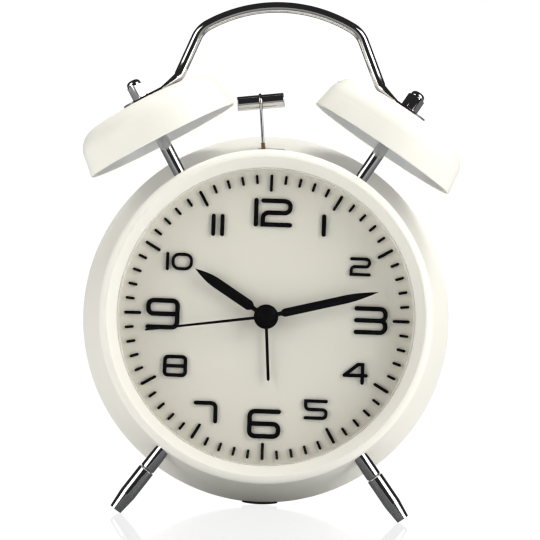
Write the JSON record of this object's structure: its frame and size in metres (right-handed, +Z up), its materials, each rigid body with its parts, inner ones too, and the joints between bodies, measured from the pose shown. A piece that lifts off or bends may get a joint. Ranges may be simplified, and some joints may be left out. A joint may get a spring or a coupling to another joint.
{
  "type": "twin bell alarm clock",
  "caption": "Round analogue alarm clock with twin bells, a swinging hammer, an arched handle and tapered legs; leans back on its rear edge.",
  "frame": {"origin": "on the table under the middle of the clock's bounding box", "axes": "+Z up, -Y to the front of the clock, +X to the right seen from the front"},
  "size_m": [0.1252, 0.0696, 0.1697],
  "materials": {
    "cream_paint": "satin cream enamel",
    "bell_paint": "satin cream enamel on spun steel",
    "lens_glass": "clear",
    "ring_white": "matte",
    "dial_face": "matte printed card",
    "numeral_black": "satin black",
    "hand_black": "satin black",
    "pad_rubber": "matte",
    "back_plastic": "fine texture",
    "knob_black": "matte",
    "chrome": "polished plate",
    "brass": "stamped",
    "steel": "plain",
    "coil_copper": "enamelled wire",
    "frame_plastic": "moulded",
    "board_green": "solder mask",
    "cell_jacket": "shrink sleeve"
  },
  "bodies": {
    "clock": {"bezel": "cream_paint", "lens": "lens_glass", "dial_ring": "ring_white", "case_shell": "cream_paint", "rear_pad": "pad_rubber", "back_cover": "back_plastic", "cover_screws": "steel", "dial": "dial_face", "numerals": "numeral_black", "minute_marks": "numeral_black", "movement_frame": "frame_plastic", "movement_backplate": "brass", "stator": "steel", "motor_coil": "coil_copper", "circuit_board": "board_green", "alarm_motor": "steel", "hammer_pivot": "steel", "left_bell": "bell_paint", "right_bell": "bell_paint", "left_bell_post": "chrome", "right_bell_post": "chrome", "cap_nuts": "chrome", "handle": "chrome", "left_leg_sleeve": "chrome", "right_leg_sleeve": "chrome", "left_foot": "chrome", "right_foot": "chrome", "inner_nuts": "steel", "batteries": "cell_jacket", "battery_contacts": "steel"},
    "time_setting": {"time_knob": "knob_black", "time_arbor": "steel"},
    "minute_work": {"minute_hand": "hand_black", "cannon_pinion": "brass"},
    "hour_work": {"hour_hand": "hand_black", "hour_wheel": "brass"},
    "motion_wheel": {"minute_wheel": "brass"},
    "alarm_setting": {"alarm_knob": "knob_black", "alarm_arbor": "steel"},
    "alarm_idle": {"alarm_idler": "brass"},
    "alarm_work": {"alarm_hand": "hand_black", "alarm_wheel": "brass"},
    "second_work": {"second_hand": "hand_black", "second_wheel": "brass"},
    "third_arbor": {"third_wheel": "brass"},
    "stepper_rotor": {"rotor": "steel"},
    "fourth_arbor": {"fourth_wheel": "brass"},
    "centre_arbor": {"centre_wheel": "brass"},
    "striker": {"strike_wheel": "brass"},
    "striker_drive": {"motor_pinion": "brass"},
    "hammer": {"hammer_lever": "steel", "hammer_wire": "chrome", "hammer_sleeve": "brass", "hammer_head": "chrome"},
    "switch_slider": {"alarm_switch": "knob_black"},
    "door": {"battery_door": "back_plastic"}
  },
  "joints": [
    {"name": "time_knob_turn", "type": "hinge", "parent": "clock", "child": "time_setting", "pos_m": [-0.021, 0.00012, 0.06553], "axis": [0, 0.9903, -0.1392], "continuous": true},
    {"name": "minute_hand_turn", "type": "hinge", "parent": "clock", "child": "minute_work", "pos_m": [0, 0.00012, 0.06553], "axis": [0, 0.9903, -0.1392], "continuous": true},
    {"name": "hour_hand_turn", "type": "hinge", "parent": "clock", "child": "hour_work", "pos_m": [0, 0.00012, 0.06553], "axis": [0, 0.9903, -0.1392], "continuous": true},
    {"name": "minute_wheel_turn", "type": "hinge", "parent": "clock", "child": "motion_wheel", "pos_m": [-0.0105, 0.00012, 0.06553], "axis": [0, 0.9903, -0.1392], "continuous": true},
    {"name": "alarm_knob_turn", "type": "hinge", "parent": "clock", "child": "alarm_setting", "pos_m": [0.021, 0.00012, 0.06553], "axis": [0, 0.9903, -0.1392], "continuous": true},
    {"name": "alarm_idler_turn", "type": "hinge", "parent": "clock", "child": "alarm_idle", "pos_m": [0.0105, 0.00012, 0.06553], "axis": [0, 0.9903, -0.1392], "continuous": true},
    {"name": "alarm_hand_turn", "type": "hinge", "parent": "clock", "child": "alarm_work", "pos_m": [0, 0.00012, 0.06553], "axis": [0, 0.9903, -0.1392], "continuous": true},
    {"name": "second_hand_turn", "type": "hinge", "parent": "clock", "child": "second_work", "pos_m": [0, 0.00012, 0.06553], "axis": [0, 0.9903, -0.1392], "continuous": true},
    {"name": "third_wheel_turn", "type": "hinge", "parent": "clock", "child": "third_arbor", "pos_m": [0.0041, 0.00169, 0.0767], "axis": [0, 0.9903, -0.1392], "continuous": true},
    {"name": "rotor_turn", "type": "hinge", "parent": "clock", "child": "stepper_rotor", "pos_m": [0.01023, 0.00317, 0.08721], "axis": [0, 0.9903, -0.1392], "continuous": true},
    {"name": "fourth_wheel_turn", "type": "hinge", "parent": "clock", "child": "fourth_arbor", "pos_m": [-0.00616, -0.00223, 0.04878], "axis": [0, 0.9903, -0.1392], "continuous": true},
    {"name": "centre_wheel_turn", "type": "hinge", "parent": "clock", "child": "centre_arbor", "pos_m": [0, 0.00012, 0.06553], "axis": [0, 0.9903, -0.1392], "continuous": true},
    {"name": "strike_wheel_turn", "type": "hinge", "parent": "clock", "child": "striker", "pos_m": [0, 0.00499, 0.10019], "axis": [0, 0.9903, -0.1392], "continuous": true},
    {"name": "motor_pinion_turn", "type": "hinge", "parent": "clock", "child": "striker_drive", "pos_m": [0.01, 0.00499, 0.10019], "axis": [0, 0.9903, -0.1392], "continuous": true},
    {"name": "hammer_swing", "type": "hinge", "parent": "clock", "child": "hammer", "pos_m": [0, 0.0036, 0.09029], "axis": [0, 0.9903, -0.1392], "range_deg": [0, 10.4]},
    {"name": "alarm_switch_slide", "type": "slide", "parent": "clock", "child": "switch_slider", "axis": [1, 0, 0], "range_m": [0, 0.006]},
    {"name": "battery_door_open", "type": "hinge", "parent": "clock", "child": "door", "pos_m": [0, 0.02026, 0.01625], "axis": [-1, 0, 0], "range_deg": [0, 75]}
  ],
  "couplings": [
    {"joint": "minute_hand_turn", "follows": "time_knob_turn", "ratio": 1},
    {"joint": "hour_hand_turn", "follows": "time_knob_turn", "ratio": 0.083333},
    {"joint": "minute_wheel_turn", "follows": "time_knob_turn", "ratio": -0.33333},
    {"joint": "alarm_idler_turn", "follows": "alarm_knob_turn", "ratio": -1},
    {"joint": "alarm_hand_turn", "follows": "alarm_knob_turn", "ratio": 1},
    {"joint": "third_wheel_turn", "follows": "second_hand_turn", "ratio": -5},
    {"joint": "rotor_turn", "follows": "second_hand_turn", "ratio": 30},
    {"joint": "fourth_wheel_turn", "follows": "second_hand_turn", "ratio": -0.125},
    {"joint": "centre_wheel_turn", "follows": "second_hand_turn", "ratio": 0.016667},
    {"joint": "motor_pinion_turn", "follows": "strike_wheel_turn", "ratio": -4}
  ]
}
